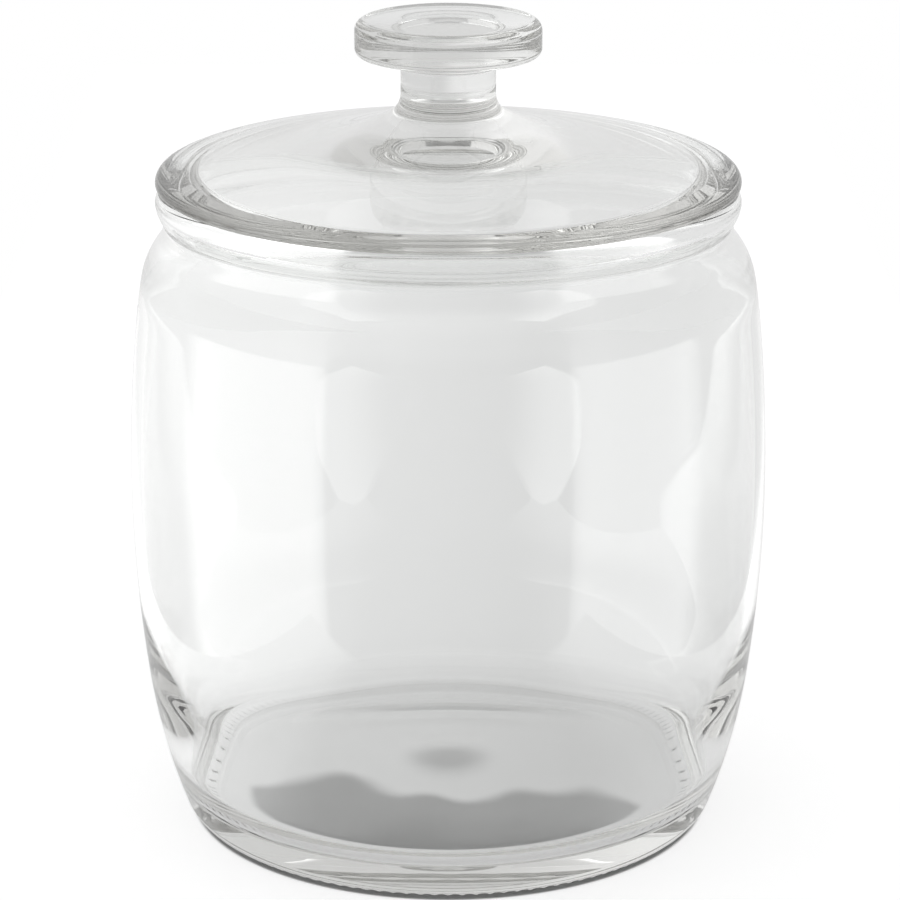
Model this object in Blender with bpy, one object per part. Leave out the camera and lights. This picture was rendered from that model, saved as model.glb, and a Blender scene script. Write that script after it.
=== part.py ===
"""Glass storage jar with a lift-off glass lid. Metres, +Z up, standing on z = 0 with its axis on x = y = 0."""

import math

import bmesh
import bpy

# Turned pieces
SEGMENTS = 60                  # facets round the axis

# Jar, outside. Slopes are in degrees from the vertical.
BODY_RADIUS = 0.0880           # the barrel at its widest
WIDEST_HEIGHT = 0.0947         # height of the widest ring
LOWER_BARREL_ARC = 0.395       # radius of the long curve below the widest ring
LOWER_BARREL_SLOPE = 7.9       # lean where it meets the heel curve
HEEL_ARC = 0.170
HEEL_SLOPE = 20.4              # lean where the heel turns under the base
UPPER_BARREL_ARC = 0.450
UPPER_BARREL_SLOPE = 6.8
SHOULDER_LEAD_ARC = 0.100      # eases the barrel into the tight shoulder
SHOULDER_LEAD_SLOPE = 10.5
SHOULDER_ARC = 0.021
SHOULDER_SLOPE = 36.0
NECK_RADIUS = 0.0776           # bottom of the groove under the rim
NECK_FILLET = 0.008

# Jar, rim
RIM_HEIGHT = 0.1797
RIM_BEAD_RADIUS = 0.0796
RIM_BEAD_LOWER_ARC = 0.0070
RIM_BEAD_FOOT_FILLET = 0.0050
LIP_OUTER_ARC = 0.0046
MOUTH_RADIUS = 0.0730

# Jar, inside: the wall is thin at the barrel and thickens towards the heel and the neck.
INNER_WIDEST_RADIUS = 0.0852
INNER_BARREL_ARC = 0.400
INNER_BARREL_SLOPE = 4.7
INNER_HEEL_ARC = 0.133
INNER_HEEL_SLOPE = 13.4
FLOOR_FILLET = 0.0124
FLOOR_HEIGHT = 0.0095
INNER_SHOULDER_ARC = 0.020
INNER_SHOULDER_SLOPE = 45.0

# Jar, underside: it stands on a flat ring, and the middle is pushed up clear of the table.
PUSH_UP_RADIUS = 0.0565
PUSH_UP_RISE = 0.0026
DIMPLE_RADIUS = 0.0130
DIMPLE_RISE = 0.0008

# Lid, outside. Heights are above its seat on the rim.
SEAT_GAP = 0.0003
LID_RADIUS = 0.0795
LID_EDGE_HEIGHT = 0.0034       # top of the edge before the dome starts
LID_EDGE_ROUND = 0.0018
LID_LOWER_ROUND = 0.0010
LID_EDGE_DRAFT = 10.0
DOME_EDGE_SLOPE = 10.4         # degrees from the horizontal, at the edge
DOME_CROWN_SLOPE = 12.5        # the same, near the knob
DOME_SWEEP_ARC = 0.040         # sweeps the dome up into the knob's neck
NECK_FOOT_SLOPE = 38.0
NECK_FOOT_ARC = 0.0106

# Lid, knob: a thick flat disc on a short neck, pressed in one with the lid.
KNOB_TOP_HEIGHT = 0.0444
KNOB_RADIUS = 0.02525
KNOB_TOP_ROUND = 0.0010
KNOB_LOWER_ROUND = 0.0012
KNOB_THICKNESS = 0.0097
KNOB_UNDERSIDE_SLOPE = 9.0
KNOB_NECK_RADIUS = 0.0130
KNOB_NECK_FILLET = 0.0033

# Lid, underside: a ring that drops into the mouth and keeps the lid from sliding off.
RING_RADIUS = 0.0704
RING_DEPTH = 0.0080
RING_INNER_RADIUS = 0.0660
RING_END_ROUND = 0.0012
RING_INNER_DRAFT = 6.0
RING_ROOT_FILLET = 0.0040
LID_THICKNESS = 0.0052
HOLLOW_CROWN_RADIUS = 0.012    # where the hollow's cone ends in a round crown

# Clear glass
GLASS_COLOUR = (0.93, 0.96, 0.95, 1.0)
GLASS_ROUGHNESS = 0.02
GLASS_IOR = 1.52


class Pen:
    """Draws half of a turned section in radius and height, as straight runs and arcs that join smoothly."""

    def __init__(self, radius, height, heading):
        self.points = [(radius, height)]
        self.heading = heading  # degrees: 0 is outwards, 90 is up

    def run(self, length):
        radius, height = self.points[-1]
        angle = math.radians(self.heading)
        self.points.append((radius + length * math.cos(angle), height + length * math.sin(angle)))

    def run_to_radius(self, radius):
        self.run((radius - self.points[-1][0]) / math.cos(math.radians(self.heading)))

    def run_to_height(self, height):
        self.run((height - self.points[-1][1]) / math.sin(math.radians(self.heading)))

    def arc(self, bend_radius, heading, steps):
        """Turns towards the new heading along an arc of this radius."""
        side = 1 if heading > self.heading else -1
        start = math.radians(self.heading)
        turn = math.radians(heading) - start
        centre_r = self.points[-1][0] - side * bend_radius * math.sin(start)
        centre_z = self.points[-1][1] + side * bend_radius * math.cos(start)
        for step in range(1, steps + 1):
            angle = start + turn * step / steps
            radius = centre_r + side * bend_radius * math.sin(angle)
            self.points.append((radius, centre_z - side * bend_radius * math.cos(angle)))
        self.heading = heading


def rise_over_arc(slope):
    """How far an arc of unit radius moves sideways while it straightens from this slope to the vertical."""
    return 1 - math.cos(math.radians(slope))


def jar_outside():
    """From the crest of the rim down to the edge of the push-up."""
    upper = Pen(BODY_RADIUS, WIDEST_HEIGHT, 90)
    upper.arc(UPPER_BARREL_ARC, 90 + UPPER_BARREL_SLOPE, 4)
    upper.arc(SHOULDER_LEAD_ARC, 90 + SHOULDER_LEAD_SLOPE, 2)
    upper.arc(SHOULDER_ARC, 90 + SHOULDER_SLOPE, 4)
    upper.run_to_radius(NECK_RADIUS + NECK_FILLET * rise_over_arc(SHOULDER_SLOPE))
    upper.arc(NECK_FILLET, 90, 4)
    bead_step = (RIM_BEAD_RADIUS - NECK_RADIUS) / (RIM_BEAD_FOOT_FILLET + RIM_BEAD_LOWER_ARC)
    bead_slope = math.degrees(math.acos(1 - bead_step))
    upper.arc(RIM_BEAD_FOOT_FILLET, 90 - bead_slope, 3)
    upper.arc(RIM_BEAD_LOWER_ARC, 90, 3)
    upper.run_to_height(RIM_HEIGHT - LIP_OUTER_ARC)
    upper.arc(LIP_OUTER_ARC, 180, 4)

    lower = Pen(BODY_RADIUS, WIDEST_HEIGHT, -90)
    lower.arc(LOWER_BARREL_ARC, -90 - LOWER_BARREL_SLOPE, 4)
    lower.arc(HEEL_ARC, -90 - HEEL_SLOPE, 3)
    corner_arc = lower.points[-1][1] / (1 - math.sin(math.radians(HEEL_SLOPE)))
    lower.arc(corner_arc, -180, 5)
    return upper.points[::-1] + lower.points[1:]


def jar_underside():
    """From the edge of the push-up in to the axis: a shallow dome with a small round dimple in the middle."""
    dome_arc = (PUSH_UP_RADIUS**2 + PUSH_UP_RISE**2) / (2 * PUSH_UP_RISE)
    edge_slope = math.degrees(math.asin(PUSH_UP_RADIUS / dome_arc))
    dimple_slope = math.degrees(math.asin(DIMPLE_RADIUS / dome_arc))
    pen = Pen(PUSH_UP_RADIUS, 0.0, 180 - edge_slope)
    pen.arc(dome_arc, 180 - dimple_slope, 3)
    pen.heading = 180 - math.degrees(math.atan(DIMPLE_RISE / DIMPLE_RADIUS)) * 2
    dimple_arc = (DIMPLE_RADIUS**2 + DIMPLE_RISE**2) / (2 * DIMPLE_RISE)
    pen.arc(dimple_arc, 180, 2)
    return pen.points[:-1] + [(0.0, pen.points[-1][1])]


def jar_inside():
    """From the middle of the floor up the inner wall to the crest of the rim."""
    lower = Pen(INNER_WIDEST_RADIUS, WIDEST_HEIGHT, -90)
    lower.arc(INNER_BARREL_ARC, -90 - INNER_BARREL_SLOPE, 2)
    lower.arc(INNER_HEEL_ARC, -90 - INNER_HEEL_SLOPE, 2)
    lower.run_to_height(FLOOR_HEIGHT + FLOOR_FILLET * (1 - math.sin(math.radians(INNER_HEEL_SLOPE))))
    lower.arc(FLOOR_FILLET, -180, 5)
    lower.run_to_radius(0.0)

    upper = Pen(INNER_WIDEST_RADIUS, WIDEST_HEIGHT, 90)
    upper.arc(UPPER_BARREL_ARC, 90 + UPPER_BARREL_SLOPE, 3)
    upper.arc(INNER_SHOULDER_ARC, 90 + INNER_SHOULDER_SLOPE, 4)
    neck_arc = (upper.points[-1][0] - MOUTH_RADIUS) / rise_over_arc(INNER_SHOULDER_SLOPE)
    upper.arc(neck_arc, 90, 3)
    lip_arc = RIM_BEAD_RADIUS - LIP_OUTER_ARC - MOUTH_RADIUS
    upper.run_to_height(RIM_HEIGHT - lip_arc)
    upper.arc(lip_arc, 0, 3)
    return lower.points[::-1] + upper.points[1:]


def lid_top():
    """From the middle of the knob's top down to the outer edge of the seat, in heights above the seat."""
    pen = Pen(0.0, KNOB_TOP_HEIGHT, 0)
    pen.run_to_radius(KNOB_RADIUS - KNOB_TOP_ROUND)
    pen.arc(KNOB_TOP_ROUND, -90, 3)
    pen.run_to_height(KNOB_TOP_HEIGHT - KNOB_THICKNESS + KNOB_LOWER_ROUND)
    pen.arc(KNOB_LOWER_ROUND, -180 + KNOB_UNDERSIDE_SLOPE, 4)
    fillet_width = KNOB_NECK_FILLET * (1 - math.sin(math.radians(KNOB_UNDERSIDE_SLOPE)))
    pen.run_to_radius(KNOB_NECK_RADIUS + fillet_width)
    pen.arc(KNOB_NECK_FILLET, -90, 4)
    neck_top = pen.points[-1]

    dome = Pen(LID_RADIUS, LID_EDGE_HEIGHT - LID_EDGE_ROUND, 90)
    dome.arc(LID_EDGE_ROUND, 180 - DOME_EDGE_SLOPE, 3)
    foot_width = NECK_FOOT_ARC * (1 - math.sin(math.radians(NECK_FOOT_SLOPE)))
    sweep = math.sin(math.radians(NECK_FOOT_SLOPE)) - math.sin(math.radians(DOME_CROWN_SLOPE))
    crown_radius = KNOB_NECK_RADIUS + foot_width + DOME_SWEEP_ARC * sweep
    lean = math.sin(math.radians(DOME_CROWN_SLOPE)) - math.sin(math.radians(DOME_EDGE_SLOPE))
    dome.arc((dome.points[-1][0] - crown_radius) / lean, 180 - DOME_CROWN_SLOPE, 3)
    dome.arc(DOME_SWEEP_ARC, 180 - NECK_FOOT_SLOPE, 4)
    dome.arc(NECK_FOOT_ARC, 90, 4)

    edge = Pen(LID_RADIUS, LID_EDGE_HEIGHT - LID_EDGE_ROUND, -90 - LID_EDGE_DRAFT)
    corner = LID_LOWER_ROUND * (1 - math.sin(math.radians(LID_EDGE_DRAFT)))
    edge.run_to_height(corner)
    edge.arc(LID_LOWER_ROUND, -180, 2)
    return pen.points[:-1] + [neck_top] + dome.points[::-1] + edge.points[1:]


def lid_underside():
    """From the seat in round the locating ring and up under the dome to the axis."""
    ring = Pen(RING_RADIUS, 0.0, -90)
    ring.run_to_height(-RING_DEPTH + RING_END_ROUND)
    ring.arc(RING_END_ROUND, -180, 3)
    ring.run_to_radius(RING_INNER_RADIUS + RING_END_ROUND * rise_over_arc(90 - RING_INNER_DRAFT))
    ring.arc(RING_END_ROUND, -270 + RING_INNER_DRAFT, 3)

    mean_slope = (DOME_EDGE_SLOPE + DOME_CROWN_SLOPE) / 2
    hollow = Pen(*ring.points[-1], 90 + RING_INNER_DRAFT)
    hollow.run_to_height(LID_EDGE_HEIGHT - LID_THICKNESS)
    hollow.arc(RING_ROOT_FILLET, 180 - mean_slope, 3)
    hollow.run_to_radius(HOLLOW_CROWN_RADIUS)
    hollow.arc(HOLLOW_CROWN_RADIUS / math.sin(math.radians(mean_slope)), 180, 2)
    return ring.points + hollow.points[1:-1] + [(0.0, hollow.points[-1][1])]


def glass_material(name):
    material = bpy.data.materials.new(name)
    material.use_nodes = True
    shader = material.node_tree.nodes["Principled BSDF"]
    shader.inputs["Base Color"].default_value = GLASS_COLOUR
    shader.inputs["Roughness"].default_value = GLASS_ROUGHNESS
    shader.inputs["Metallic"].default_value = 0.0
    shader.inputs["IOR"].default_value = GLASS_IOR
    shader.inputs["Transmission Weight"].default_value = 1.0
    return material


def turned_piece(name, section, height):
    """Spins a closed half section round the axis and places the piece's origin on that axis at this height."""
    shape = bmesh.new()
    corners = [shape.verts.new((radius, 0.0, z)) for radius, z in section]
    edges = [shape.edges.new(pair) for pair in zip(corners, corners[1:])]
    bmesh.ops.spin(
        shape,
        geom=corners + edges,
        cent=(0.0, 0.0, 0.0),
        axis=(0.0, 0.0, 1.0),
        angle=2 * math.pi,
        steps=SEGMENTS,
    )
    bmesh.ops.remove_doubles(shape, verts=shape.verts, dist=1e-6)
    bmesh.ops.recalc_face_normals(shape, faces=shape.faces)
    mesh = bpy.data.meshes.new(name)
    shape.to_mesh(mesh)
    shape.free()
    mesh.shade_smooth()
    mesh.set_sharp_from_angle(angle=math.radians(35))
    mesh.materials.append(glass_material(name + "_glass"))
    piece = bpy.data.objects.new(name, mesh)
    piece.location = (0.0, 0.0, height)
    bpy.context.scene.collection.objects.link(piece)
    return piece


for leftover in list(bpy.data.objects):
    bpy.data.objects.remove(leftover)

jar_section = jar_inside() + jar_outside()[1:] + jar_underside()
turned_piece("jar_body", jar_section, 0.0)

lid_section = lid_top() + lid_underside()
turned_piece("lid", lid_section, RIM_HEIGHT + SEAT_GAP)
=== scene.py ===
import math

import bpy
import numpy as np
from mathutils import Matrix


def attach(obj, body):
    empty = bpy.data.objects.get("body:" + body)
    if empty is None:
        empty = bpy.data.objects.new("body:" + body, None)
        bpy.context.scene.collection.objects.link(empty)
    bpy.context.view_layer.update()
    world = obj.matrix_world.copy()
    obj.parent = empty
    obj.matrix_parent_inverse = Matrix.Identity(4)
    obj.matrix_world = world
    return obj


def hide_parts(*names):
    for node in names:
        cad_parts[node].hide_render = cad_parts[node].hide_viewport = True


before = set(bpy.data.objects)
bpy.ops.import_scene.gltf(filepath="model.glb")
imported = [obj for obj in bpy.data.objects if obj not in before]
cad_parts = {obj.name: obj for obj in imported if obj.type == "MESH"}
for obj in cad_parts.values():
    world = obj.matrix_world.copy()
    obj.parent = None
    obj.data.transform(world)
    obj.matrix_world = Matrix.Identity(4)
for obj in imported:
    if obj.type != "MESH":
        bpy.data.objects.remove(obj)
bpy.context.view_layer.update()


# Camera: a long lens in front of the jar, about a metre away and higher than its knob, tipped down 18 degrees.
# It looks straight ahead with no shift, and everything in view is sharp.

IMAGE_SIZE = 900
FOCAL_PIXELS = 3635.5
SENSOR_WIDTH = 36.0
CAMERA_PLACE = (0.00045, -0.9618, 0.4155)
CAMERA_TILT = 72.0             # degrees up from straight down

lens = bpy.data.cameras.new("camera")
lens.sensor_width = SENSOR_WIDTH
lens.lens = FOCAL_PIXELS / IMAGE_SIZE * SENSOR_WIDTH
lens.clip_start = 0.01
camera = bpy.data.objects.new("camera", lens)
camera.location = CAMERA_PLACE
camera.rotation_euler = (math.radians(CAMERA_TILT), 0.0, 0.0)
bpy.context.scene.collection.objects.link(camera)
bpy.context.scene.camera = camera


# Jar: a wide storage jar of clear soda-lime glass, pressed and blown in one piece. The wall is thin at the
# barrel and thick at the heel, and the neck ends in a rolled rim that the lid sits on. The base is pushed up in
# the middle, and short ribs stand on the curve of the heel, round the flat ring that the jar rests on.

BODY_RADIUS = 0.0880
WIDEST_HEIGHT = 0.0947
LOWER_BARREL_ARC, LOWER_BARREL_SLOPE = 0.395, 7.9
HEEL_ARC, HEEL_SLOPE = 0.170, 20.4
UPPER_BARREL_ARC, UPPER_BARREL_SLOPE = 0.450, 6.8
SHOULDER_LEAD_ARC, SHOULDER_LEAD_SLOPE = 0.100, 10.5
SHOULDER_ARC, SHOULDER_SLOPE = 0.021, 36.0
NECK_RADIUS = 0.0776
NECK_FILLET = 0.008
RIM_HEIGHT = 0.1797
RIM_BEAD_RADIUS = 0.0796
RIM_BEAD_FOOT_FILLET = 0.0050
RIM_BEAD_LOWER_ARC = 0.0070
LIP_OUTER_ARC = 0.0046
MOUTH_RADIUS = 0.0730
INNER_WIDEST_RADIUS = 0.0852
INNER_BARREL_ARC, INNER_BARREL_SLOPE = 0.400, 4.7
INNER_HEEL_ARC, INNER_HEEL_SLOPE = 0.133, 13.4
INNER_SHOULDER_ARC, INNER_SHOULDER_SLOPE = 0.020, 45
FLOOR_FILLET = 0.0124
FLOOR_HEIGHT = 0.0095
PUSH_UP_RADIUS, PUSH_UP_RISE = 0.0565, 0.0012
DIMPLE_RADIUS, DIMPLE_RISE = 0.0130, 0.0003
RIB_COUNT = 120
RIB_INNER, RIB_OUTER = 0.0690, 0.0733
RIB_TOP = 0.0035               # the ribs are lower than this, and the floor inside is higher
RIB_DEPTH = 0.00040
RIB_PATTERN = [0, 1, 1]        # steps round the axis for one rib and the groove beside it; 1 is groove
JAR_TURNS = len(RIB_PATTERN) * RIB_COUNT

ARC_STEP = 0.0022
RUN_STEP = 0.00275
WIDEST_TURN = 0.16             # radians in one step of an arc
GUARD = 0.00012                # distance of a guard point from the corner next to it
SHORTEST_GUARDED = 4 * GUARD
CORNER_BEND = 15               # degrees at which a point is a corner
CURVE_BEND = 1.5               # degrees at which it is part of a curve

GLASS_COLOUR = (0.992, 0.996, 0.993, 1.0)
GLASS_IOR = 1.52
GLASS_DEPTH_COLOUR = (0.24, 0.23, 0.18, 1.0)
SWELL_SCALE, SWELL_DETAIL = 38.0, 1.0
SWELL_STRENGTH, SWELL_RISE = 0.08, 0.0002
JAR_ABSORPTION = 2.5           # per metre of glass


class Pen:
    """Draws half of a turned section in radius and height, as straight runs and arcs in fine steps."""

    def __init__(self, radius, height, heading):
        self.points = [(radius, height)]
        self.heading = heading  # degrees: 0 is outwards, 90 is up

    def run(self, length):
        radius, height = self.points[-1]
        angle = math.radians(self.heading)
        count = max(1, math.ceil(abs(length) / RUN_STEP))
        for part in range(1, count + 1):
            reach = length * part / count
            self.points.append((radius + reach * math.cos(angle), height + reach * math.sin(angle)))

    def run_to_radius(self, radius):
        self.run((radius - self.points[-1][0]) / math.cos(math.radians(self.heading)))

    def run_to_height(self, height):
        self.run((height - self.points[-1][1]) / math.sin(math.radians(self.heading)))

    def arc(self, bend_radius, heading):
        """Turns towards the new heading along an arc of this radius."""
        side = 1 if heading > self.heading else -1
        start = math.radians(self.heading)
        turn = math.radians(heading) - start
        count = max(math.ceil(abs(turn) * bend_radius / ARC_STEP), math.ceil(abs(turn) / WIDEST_TURN), 1)
        centre_r = self.points[-1][0] - side * bend_radius * math.sin(start)
        centre_z = self.points[-1][1] + side * bend_radius * math.cos(start)
        for part in range(1, count + 1):
            angle = start + turn * part / count
            radius = centre_r + side * bend_radius * math.sin(angle)
            self.points.append((radius, centre_z - side * bend_radius * math.cos(angle)))
        self.heading = heading


def sine(slope):
    return math.sin(math.radians(slope))


def rise_over_arc(slope):
    return 1 - math.cos(math.radians(slope))


def guarded(section):
    """The section with guard points beside corners and small arcs, so that what is straight shades flat."""
    section = np.array(section)
    steps = np.diff(section, axis=0)
    lengths = np.hypot(steps[:, 0], steps[:, 1])
    headings = np.degrees(np.arctan2(steps[:, 1], steps[:, 0]))
    bends = np.abs((np.diff(headings) + 180) % 360 - 180)
    points = [section[0]]
    for index, length in enumerate(lengths):
        for beside in (index - 1, index + 1):
            if not 0 <= beside < len(lengths) or length < SHORTEST_GUARDED:
                continue
            bend = bends[min(index, beside)]
            if bend > CORNER_BEND or (bend > CURVE_BEND and length > 2 * lengths[beside]):
                share = GUARD / length if beside < index else 1 - GUARD / length
                points.append(section[index] + steps[index] * share)
        points.append(section[index + 1])
    return points


def turned_grid(section, turns):
    """The points of a closed half section carried round the axis: an array of (point, turn, xyz)."""
    section = np.array(guarded(section))
    angles = np.arange(turns) * (2 * math.pi / turns)
    grid = np.empty((len(section), turns, 3))
    grid[:, :, 0] = section[:, :1] * np.sin(angles)
    grid[:, :, 1] = section[:, :1] * -np.cos(angles)
    grid[:, :, 2] = section[:, 1:]
    return grid


def turned_piece(name, grid):
    """A closed mesh over the grid, whose first and last points lie on the axis."""
    rings, turns = grid.shape[:2]
    points = np.concatenate([grid[:1, 0], grid[1:-1].reshape(-1, 3), grid[-1:, 0]])
    inner = 1 + np.arange((rings - 2) * turns).reshape(rings - 2, turns)
    beside = np.roll(inner, -1, axis=1)
    faces = np.stack([inner[:-1], inner[1:], beside[1:], beside[:-1]], axis=-1).reshape(-1, 4).tolist()
    faces += [(0, a, b) for a, b in zip(inner[0].tolist(), beside[0].tolist())]
    last = len(points) - 1
    faces += [(last, b, a) for a, b in zip(inner[-1].tolist(), beside[-1].tolist())]
    mesh = bpy.data.meshes.new(name)
    mesh.from_pydata(points.tolist(), [], faces)
    mesh.update()
    mesh.shade_smooth()
    piece = bpy.data.objects.new(name, mesh)
    bpy.context.scene.collection.objects.link(piece)
    return piece


def jar_inside():
    """From the middle of the floor up the inner wall to the crest of the rim."""
    lower = Pen(INNER_WIDEST_RADIUS, WIDEST_HEIGHT, -90)
    lower.arc(INNER_BARREL_ARC, -90 - INNER_BARREL_SLOPE)
    lower.arc(INNER_HEEL_ARC, -90 - INNER_HEEL_SLOPE)
    lower.run_to_height(FLOOR_HEIGHT + FLOOR_FILLET * (1 - sine(INNER_HEEL_SLOPE)))
    lower.arc(FLOOR_FILLET, -180)
    lower.run_to_radius(0.0)

    upper = Pen(INNER_WIDEST_RADIUS, WIDEST_HEIGHT, 90)
    upper.arc(UPPER_BARREL_ARC, 90 + UPPER_BARREL_SLOPE)
    upper.arc(INNER_SHOULDER_ARC, 90 + INNER_SHOULDER_SLOPE)
    upper.arc((upper.points[-1][0] - MOUTH_RADIUS) / rise_over_arc(INNER_SHOULDER_SLOPE), 90)
    lip_inner_arc = RIM_BEAD_RADIUS - LIP_OUTER_ARC - MOUTH_RADIUS
    upper.run_to_height(RIM_HEIGHT - lip_inner_arc)
    upper.arc(lip_inner_arc, 0)
    return lower.points[::-1] + upper.points[1:]


def jar_outside():
    """From the crest of the rim down to the flat ring that the jar rests on."""
    upper = Pen(BODY_RADIUS, WIDEST_HEIGHT, 90)
    upper.arc(UPPER_BARREL_ARC, 90 + UPPER_BARREL_SLOPE)
    upper.arc(SHOULDER_LEAD_ARC, 90 + SHOULDER_LEAD_SLOPE)
    upper.arc(SHOULDER_ARC, 90 + SHOULDER_SLOPE)
    upper.run_to_radius(NECK_RADIUS + NECK_FILLET * rise_over_arc(SHOULDER_SLOPE))
    upper.arc(NECK_FILLET, 90)
    bead_rise = (RIM_BEAD_RADIUS - NECK_RADIUS) / (RIM_BEAD_FOOT_FILLET + RIM_BEAD_LOWER_ARC)
    upper.arc(RIM_BEAD_FOOT_FILLET, 90 - math.degrees(math.acos(1 - bead_rise)))
    upper.arc(RIM_BEAD_LOWER_ARC, 90)
    upper.run_to_height(RIM_HEIGHT - LIP_OUTER_ARC)
    upper.arc(LIP_OUTER_ARC, 180)

    lower = Pen(BODY_RADIUS, WIDEST_HEIGHT, -90)
    lower.arc(LOWER_BARREL_ARC, -90 - LOWER_BARREL_SLOPE)
    lower.arc(HEEL_ARC, -90 - HEEL_SLOPE)
    lower.arc(lower.points[-1][1] / (1 - sine(HEEL_SLOPE)), -180)
    return upper.points[::-1] + lower.points[1:]


def jar_underside():
    """From inside the flat ring to the axis: a shallow dome with a small round dimple in the middle."""
    dome_arc = (PUSH_UP_RADIUS**2 + PUSH_UP_RISE**2) / (2 * PUSH_UP_RISE)
    dimple_arc = (DIMPLE_RADIUS**2 + DIMPLE_RISE**2) / (2 * DIMPLE_RISE)
    pen = Pen(PUSH_UP_RADIUS, 0.0, 180 - math.degrees(math.asin(PUSH_UP_RADIUS / dome_arc)))
    pen.arc(dome_arc, 180 - math.degrees(math.asin(DIMPLE_RADIUS / dome_arc)))
    pen.heading = 180 - 2 * math.degrees(math.atan(DIMPLE_RISE / DIMPLE_RADIUS))
    pen.arc(dimple_arc, 180)
    return pen.points[:-1] + [(0.0, pen.points[-1][1])]


def clear_glass(name, absorption):
    """Clear glass with the faint unevenness of a pressed surface, and a little colour in its thickness."""
    material = bpy.data.materials.new(name)
    material.use_nodes = True
    nodes = material.node_tree.nodes
    links = material.node_tree.links
    shader = nodes["Principled BSDF"]
    shader.inputs["Base Color"].default_value = GLASS_COLOUR
    shader.inputs["Roughness"].default_value = 0.0
    shader.inputs["IOR"].default_value = GLASS_IOR
    shader.inputs["Transmission Weight"].default_value = 1.0
    place = nodes.new("ShaderNodeTexCoord")
    swell = nodes.new("ShaderNodeTexNoise")
    swell.inputs["Scale"].default_value = SWELL_SCALE
    swell.inputs["Detail"].default_value = SWELL_DETAIL
    bump = nodes.new("ShaderNodeBump")
    bump.inputs["Strength"].default_value = SWELL_STRENGTH
    bump.inputs["Distance"].default_value = SWELL_RISE
    links.new(place.outputs["Object"], swell.inputs["Vector"])
    links.new(swell.outputs["Fac"], bump.inputs["Height"])
    links.new(bump.outputs["Normal"], shader.inputs["Normal"])
    depth = nodes.new("ShaderNodeVolumeAbsorption")
    depth.inputs["Color"].default_value = GLASS_DEPTH_COLOUR
    depth.inputs["Density"].default_value = absorption
    links.new(depth.outputs["Volume"], nodes["Material Output"].inputs["Volume"])
    return material


jar_grid = turned_grid(jar_inside() + jar_outside()[1:] + jar_underside(), JAR_TURNS)
ring_radius = np.hypot(jar_grid[:, 0, 0], jar_grid[:, 0, 1])
ribbed = (ring_radius > RIB_INNER) & (ring_radius < RIB_OUTER) & (jar_grid[:, 0, 2] < RIB_TOP)
jar_grid[ribbed, :, 2] += RIB_DEPTH * np.array(RIB_PATTERN * RIB_COUNT)

jar = turned_piece("jar_glass_shell", jar_grid)
jar.data.materials.append(clear_glass("jar_clear_glass", JAR_ABSORPTION))
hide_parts("jar_body")
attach(jar, "jar")


# Lid: a shallow dome of the same glass with a thick disc of a knob on a short neck, pressed in one piece. It
# lies loose on the rim, and a ring under it drops into the mouth. Heights are above the seat.

LID_TURNS = 288
SEAT = RIM_HEIGHT + 0.0003
KNOB_TOP = 0.0444
KNOB_RADIUS = 0.02525
KNOB_THICKNESS = 0.0097
KNOB_TOP_ROUND = 0.0029
KNOB_LOWER_ROUND = 0.0021
KNOB_UNDERSIDE_SLOPE = 9.0
KNOB_NECK_RADIUS = 0.0129
KNOB_NECK_FILLET = 0.0030
FOOT_RADIUS, FOOT_SLOPE = 0.0163, 27.0
CROWN_RADIUS, CROWN_SLOPE = 0.0330, 12.5
DOME_EDGE_ARC, DOME_EDGE_SLOPE = 0.0400, 10.4
EDGE_SHOULDER_ARC, EDGE_SHOULDER_SLOPE = 0.0100, 16
EDGE_ROUND, EDGE_ROUND_SLOPE = 0.0026, 26
LID_RADIUS = 0.0795
LID_WIDEST = 0.0009            # height of the widest ring
RING_RADIUS, RING_INNER_RADIUS = 0.0704, 0.0672
RING_DEPTH = 0.0080
RING_END_ROUND = 0.0012
RING_ROOT_FILLET = 0.0010
HOLLOW_SLOPE = 11.45
HOLLOW_CROWN_RADIUS = 0.045
LID_EDGE_HEIGHT = 0.0034
LID_THICKNESS = 0.0062
LID_ABSORPTION = 4.5           # per metre of glass


def lid_top():
    """From the middle of the knob's top down to the seat."""
    knob = Pen(0.0, KNOB_TOP, 0)
    knob.run_to_radius(KNOB_RADIUS - KNOB_TOP_ROUND)
    knob.arc(KNOB_TOP_ROUND, -90)
    knob.run_to_height(KNOB_TOP - KNOB_THICKNESS + KNOB_LOWER_ROUND)
    knob.arc(KNOB_LOWER_ROUND, -180 + KNOB_UNDERSIDE_SLOPE)
    knob.run_to_radius(KNOB_NECK_RADIUS + KNOB_NECK_FILLET * (1 - sine(KNOB_UNDERSIDE_SLOPE)))
    knob.arc(KNOB_NECK_FILLET, -90)

    dome = Pen(LID_RADIUS, LID_WIDEST, 90)
    dome.arc(EDGE_ROUND, 180 - EDGE_ROUND_SLOPE)
    dome.arc(EDGE_SHOULDER_ARC, 180 - EDGE_SHOULDER_SLOPE)
    dome.arc(DOME_EDGE_ARC, 180 - DOME_EDGE_SLOPE)
    dome_arc = (dome.points[-1][0] - CROWN_RADIUS) / (sine(CROWN_SLOPE) - sine(DOME_EDGE_SLOPE))
    dome.arc(dome_arc, 180 - CROWN_SLOPE)
    dome.arc((CROWN_RADIUS - FOOT_RADIUS) / (sine(FOOT_SLOPE) - sine(CROWN_SLOPE)), 180 - FOOT_SLOPE)
    dome.arc((FOOT_RADIUS - KNOB_NECK_RADIUS) / (1 - sine(FOOT_SLOPE)), 90)

    edge = Pen(LID_RADIUS, LID_WIDEST, -90)
    edge.arc(LID_WIDEST, -180)
    return knob.points + dome.points[::-1] + edge.points[1:]


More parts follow.
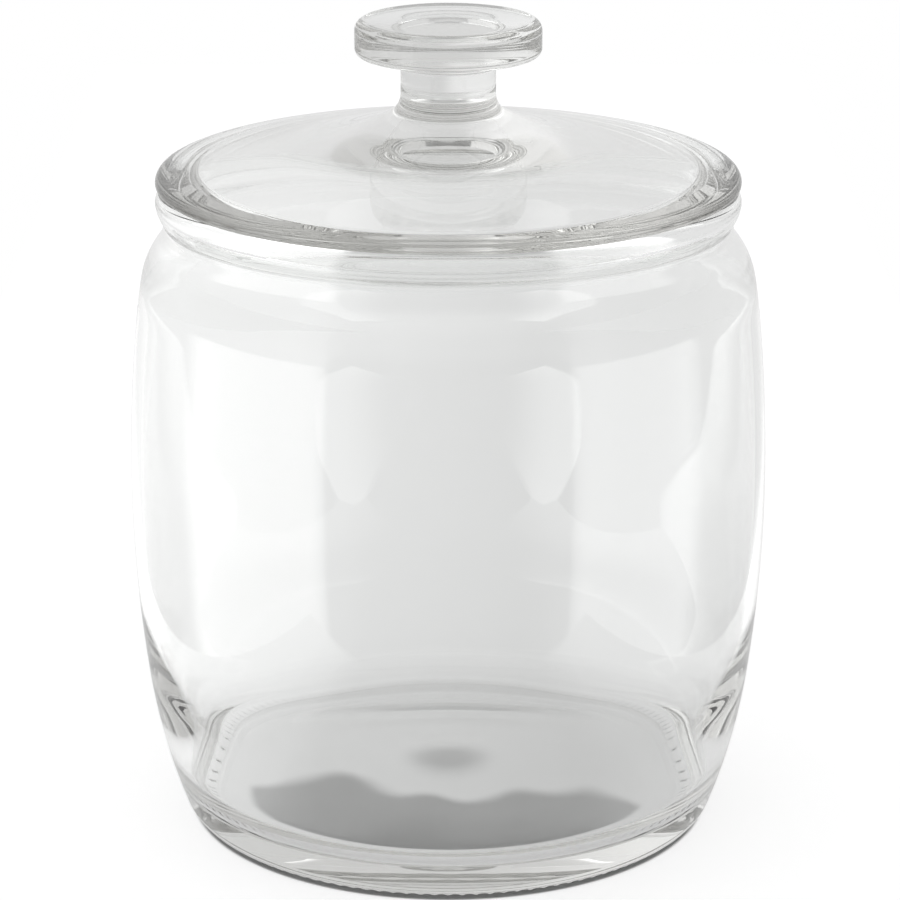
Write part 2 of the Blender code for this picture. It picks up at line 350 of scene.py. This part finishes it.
def lid_underside():
    """From the seat in round the locating ring and up under the dome to the axis."""
    ring = Pen(RING_RADIUS, 0.0, -90)
    ring.run_to_height(-RING_DEPTH + RING_END_ROUND)
    ring.arc(RING_END_ROUND, -180)
    ring.run_to_radius(RING_INNER_RADIUS + RING_END_ROUND)
    ring.arc(RING_END_ROUND, -270)
    hollow = Pen(*ring.points[-1], 90)
    hollow.run_to_height(LID_EDGE_HEIGHT - LID_THICKNESS)
    hollow.arc(RING_ROOT_FILLET, 180 - HOLLOW_SLOPE)
    hollow.run_to_radius(HOLLOW_CROWN_RADIUS)
    hollow.arc(HOLLOW_CROWN_RADIUS / sine(HOLLOW_SLOPE), 180)
    return ring.points + hollow.points[1:-1] + [(0.0, hollow.points[-1][1])]


lid_grid = turned_grid(lid_top() + lid_underside(), LID_TURNS)
lid_grid[:, :, 2] += SEAT
lid = turned_piece("lid_glass_shell", lid_grid)
lid.data.materials.append(clear_glass("lid_clear_glass", LID_ABSORPTION))
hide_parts("lid")
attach(lid, "lid")


# Studio: a pale room all round, which the glass shows wherever it is seen straight through. What the glass
# mirrors is a wide low softbox on each side, a paler left wall and the darker side that the camera stands on.

ROOM_LEFT, ROOM_RIGHT = 0.92, 0.74
ROOM_BLEND = 0.12              # how far either side of straight back the room changes from left to right
MIRRORED_BACK = 0.80
MIRRORED_LEFT_WALL = 1.10
LEFT_WALL_REACH = -0.6
OVERHEAD_START, OVERHEAD_FULL = 0.4, 0.9
MIRRORED_FRONT = 0.30
FRONT_SPREAD = 46              # degrees either side of the camera to the middle of the dark front's edge
NEAR_EDGE, FAR_EDGE = 3, 16    # half the width of that edge, as the near and the far wall mirror it
LEFT_SOFTBOX, RIGHT_SOFTBOX = 3.10, 2.60
LEFT_SPAN = (-114, -100, -51, -43)
RIGHT_SPAN = (43, 51, 94, 108)
HEIGHT_SPAN = (-60, -22, 6, 12)
OUTSIDE_LIMIT = 0.84           # the brightest that the outside of the glass mirrors anything
UNLIMITED = 10.0
ANY, ONCE, NEAR_WALL = 0.5, 1.5, 2.5  # a path's depths are whole numbers, so limits stand between them


class Nodes:
    """Builds one node tree out of sums on single values."""

    def __init__(self, tree):
        self.tree = tree

    def add(self, kind, **settings):
        node = self.tree.nodes.new("ShaderNode" + kind)
        for name, value in settings.items():
            setattr(node, name, value)
        return node

    def put(self, value, socket):
        if isinstance(value, (int, float, tuple)):
            socket.default_value = value
        else:
            self.tree.links.new(value, socket)

    def sum(self, operation, *values):
        node = self.add("Math", operation=operation)
        for value, socket in zip(values, node.inputs):
            self.put(value, socket)
        return node.outputs[0]

    def ramp(self, value, start, end, low=0.0, high=1.0):
        """Low at start and high at end, with a soft turn at both."""
        node = self.add("MapRange", interpolation_type="SMOOTHSTEP")
        sockets = ("Value", "From Min", "From Max", "To Min", "To Max")
        for given, name in zip((value, start, end, low, high), sockets):
            self.put(given, node.inputs[name])
        return node.outputs[0]

    def over(self, below, value, mask):
        """The value where the mask is 1, and what is below it where the mask is 0."""
        node = self.add("Mix")
        self.put(mask, node.inputs[0])
        self.put(below, node.inputs[2])
        self.put(value, node.inputs[3])
        return node.outputs[0]

    def window(self, value, start, full, fading, end):
        """1 from full to fading, 0 outside start and end; the four are in degrees, the value in radians."""
        rise = self.ramp(value, math.radians(start), math.radians(full))
        return self.sum("MULTIPLY", rise, self.ramp(value, math.radians(end), math.radians(fading)))

    def azimuth(self, across, away):
        """The direction round the axis in radians: 0 is towards the camera, and the right is positive."""
        return self.sum("ARCTAN2", across, self.sum("MULTIPLY", away, -1.0))

    def mirrored_room(self, across, azimuth, edge):
        """The brightness that the glass mirrors from a direction, without the softboxes."""
        room = self.ramp(across, 0.0, LEFT_WALL_REACH, MIRRORED_BACK, MIRRORED_LEFT_WALL)
        outer = FRONT_SPREAD + edge
        inner = FRONT_SPREAD - edge
        return self.over(room, MIRRORED_FRONT, self.window(azimuth, -outer, -inner, inner, outer))

    def limited(self, mirrored, limit, ray):
        """What is mirrored, no brighter than the limit where the outside of the glass mirrors it."""
        inside = self.sum("GREATER_THAN", ray.outputs["Transmission Depth"], ANY)
        return self.sum("MINIMUM", mirrored, self.over(limit, UNLIMITED, inside))


world = bpy.data.worlds.new("studio")
world.use_nodes = True
bpy.context.scene.world = world
world.node_tree.nodes.clear()
build = Nodes(world.node_tree)
parts = build.add("SeparateXYZ")
build.put(build.add("TexCoord").outputs["Generated"], parts.inputs[0])
across, away, up = parts.outputs
azimuth = build.azimuth(across, away)
elevation = build.sum("ARCSINE", up)
overhead = build.ramp(elevation, OVERHEAD_START, OVERHEAD_FULL)
by_near_wall = build.over(build.mirrored_room(across, azimuth, NEAR_EDGE), MIRRORED_BACK, overhead)
by_far_wall = build.over(build.mirrored_room(across, azimuth, FAR_EDGE), MIRRORED_BACK, overhead)

# The softboxes show where the nearest wall mirrors them once, and the far wall mirrors a softer room. The
# limit keeps the outside of the glass darker than the background, so that its outline shows from every side.
ray = build.add("LightPath")
once = build.sum("LESS_THAN", ray.outputs["Glossy Depth"], ONCE)
nearest = build.sum("LESS_THAN", ray.outputs["Transmission Depth"], NEAR_WALL)
in_height = build.sum("MULTIPLY", build.window(elevation, *HEIGHT_SPAN), once)
for softbox, span in ((LEFT_SOFTBOX, LEFT_SPAN), (RIGHT_SOFTBOX, RIGHT_SPAN)):
    in_softbox = build.sum("MULTIPLY", build.window(azimuth, *span), in_height)
    by_near_wall = build.over(by_near_wall, softbox, in_softbox)
mirrored = build.limited(build.over(by_far_wall, by_near_wall, nearest), OUTSIDE_LIMIT, ray)
straight = build.ramp(across, -ROOM_BLEND, ROOM_BLEND, ROOM_LEFT, ROOM_RIGHT)
by_glass = build.sum("MAXIMUM", ray.outputs["Is Glossy Ray"], ray.outputs["Is Transmission Ray"])
by_mirror = build.sum("MULTIPLY", by_glass, build.sum("GREATER_THAN", ray.outputs["Glossy Depth"], ANY))
brightness = build.over(build.over(straight, mirrored, by_mirror), 1.0, ray.outputs["Is Camera Ray"])
sky = build.add("Background")
sky.inputs["Color"].default_value = (1.0, 1.0, 1.0, 1.0)
build.put(brightness, sky.inputs["Strength"])
sky_out = build.add("OutputWorld")
build.put(sky.outputs[0], sky_out.inputs["Surface"])


# Table: a plain strip of matt white paper. The camera and the glass see it as bright as the room behind it,
# the jar's own shade still falls on it, painted shade is added under the heel and the base, and what the glass
# mirrors of it carries painted light from the softboxes.

TABLE_LEFT, TABLE_RIGHT, TABLE_FRONT, TABLE_BACK = -0.19, 0.19, -0.20, 1.00
TABLE_HEIGHT = -0.0001
PAPER_COLOUR = (0.42, 0.42, 0.42, 1.0)
PAPER_ROUGHNESS = 0.9
PAPER_LIT = 0.34               # how bright the room alone makes the paper
LIFT_SEEN = 0.72               # glow added for the camera
LIFT_IN_SHADE = 0.0            # glow through the glass, in the shade under the front of the pushed-up base
LIFT_UNDER_JAR = 0.45          # glow of mirrored paper under the jar
UNDER_JAR_END, UNDER_JAR_FULL = 0.105, 0.085
BELOW_LEFT_SOFTBOX, BELOW_RIGHT_SOFTBOX = 2.10, 1.50
BELOW_SOFTBOX_START = 0.08
HEEL_SHADE_END, HEEL_SHADE_FULL = 0.0735, 0.0720
BASE_SHADE_END, BASE_SHADE_FULL = 0.0590, 0.0560
DIMPLE_SHADE_END, DIMPLE_SHADE_FULL = 0.016, 0.004
DIMPLE_SHADE = 0.50
UNEVEN_SCALE, UNEVEN_DETAIL = 22.0, 1.5
UNEVEN_REACH = 0.045
SHADE_EDGE = (0.010, 0.005, 0.0, 0.72)  # from back to front: where it starts and ends, and the shade there
SHADE_DEEPENING = (0.004, -0.030, 0.0, 0.28)  # the same, for the shade added in front of the edge

table_mesh = bpy.data.meshes.new("table_top")
near_left, near_right = (TABLE_LEFT, TABLE_FRONT, TABLE_HEIGHT), (TABLE_RIGHT, TABLE_FRONT, TABLE_HEIGHT)
far_left, far_right = (TABLE_LEFT, TABLE_BACK, TABLE_HEIGHT), (TABLE_RIGHT, TABLE_BACK, TABLE_HEIGHT)
table_mesh.from_pydata([near_left, near_right, far_right, far_left], [], [(0, 1, 2, 3)])
table = bpy.data.objects.new("table_top", table_mesh)
bpy.context.scene.collection.objects.link(table)

paper = bpy.data.materials.new("matt_white_paper")
paper.use_nodes = True
shader = paper.node_tree.nodes["Principled BSDF"]
shader.inputs["Base Color"].default_value = PAPER_COLOUR
shader.inputs["Roughness"].default_value = PAPER_ROUGHNESS
shader.inputs["Specular IOR Level"].default_value = 0.0
shader.inputs["Emission Color"].default_value = (1.0, 1.0, 1.0, 1.0)
build = Nodes(paper.node_tree)
place = build.add("TexCoord").outputs["Object"]
parts = build.add("SeparateXYZ")
build.put(place, parts.inputs[0])
across, away = parts.outputs["X"], parts.outputs["Y"]
length = build.add("VectorMath", operation="LENGTH")
build.put(place, length.inputs[0])
spread = length.outputs["Value"]
uneven = build.add("TexNoise")
uneven.inputs["Scale"].default_value = UNEVEN_SCALE
uneven.inputs["Detail"].default_value = UNEVEN_DETAIL
build.put(place, uneven.inputs["Vector"])

# Painted shade on the paper, seen through the glass: less glow under the front of the pushed-up base, and a
# little under its dimple.
under_base = build.ramp(spread, BASE_SHADE_END, BASE_SHADE_FULL)
uneven_away = build.sum("MULTIPLY_ADD", uneven.outputs["Fac"], UNEVEN_REACH, away)
at_front = build.sum("ADD", build.ramp(uneven_away, *SHADE_EDGE), build.ramp(uneven_away, *SHADE_DEEPENING))
under_dimple = build.ramp(spread, DIMPLE_SHADE_END, DIMPLE_SHADE_FULL, 0.0, DIMPLE_SHADE)
shade = build.sum("MAXIMUM", build.sum("MULTIPLY", under_base, at_front), under_dimple)
straight = build.ramp(across, -ROOM_BLEND, ROOM_BLEND, ROOM_LEFT - PAPER_LIT, ROOM_RIGHT - PAPER_LIT)
straight = build.over(straight, LIFT_IN_SHADE, shade)

# Painted light on the paper for what the glass mirrors of it: the room as seen from the axis of the jar just
# above the table, brighter towards each softbox, with a glow under the jar.
azimuth = build.azimuth(across, away)
mirrored = build.mirrored_room(build.sum("SINE", azimuth), azimuth, FAR_EDGE)
mirrored = build.over(mirrored, BELOW_LEFT_SOFTBOX, build.ramp(across, -BELOW_SOFTBOX_START, TABLE_LEFT))
mirrored = build.over(mirrored, BELOW_RIGHT_SOFTBOX, build.ramp(across, BELOW_SOFTBOX_START, TABLE_RIGHT))
mirrored = build.sum("MAXIMUM", build.sum("SUBTRACT", mirrored, PAPER_LIT), 0.0)
mirrored = build.over(mirrored, LIFT_UNDER_JAR, build.ramp(spread, UNDER_JAR_END, UNDER_JAR_FULL))

# The camera sees no glow in a painted contact shade, which reaches out from under the heel.
ray = build.add("LightPath")
mirrored = build.limited(mirrored, OUTSIDE_LIMIT - PAPER_LIT, ray)
by_glass = build.sum("MAXIMUM", ray.outputs["Is Glossy Ray"], ray.outputs["Is Transmission Ray"])
by_mirror = build.sum("GREATER_THAN", ray.outputs["Glossy Depth"], ANY)
lift = build.sum("MULTIPLY", by_glass, build.over(straight, mirrored, by_mirror))
seen = build.ramp(spread, HEEL_SHADE_END, HEEL_SHADE_FULL, LIFT_SEEN, 0.0)
glow = build.sum("MULTIPLY_ADD", ray.outputs["Is Camera Ray"], seen, lift)
build.put(glow, shader.inputs["Emission Strength"])
table_mesh.materials.append(paper)


# Picture: plain colours, and light paths long enough for light to come back out of the thick wall, which
# holds it over many reflections.

BOUNCES = 48
GLOSSY_BOUNCES = 40

scene = bpy.context.scene
scene.view_settings.view_transform = "Standard"
scene.cycles.use_denoising = True
scene.cycles.max_bounces = BOUNCES
scene.cycles.transmission_bounces = BOUNCES
scene.cycles.glossy_bounces = GLOSSY_BOUNCES
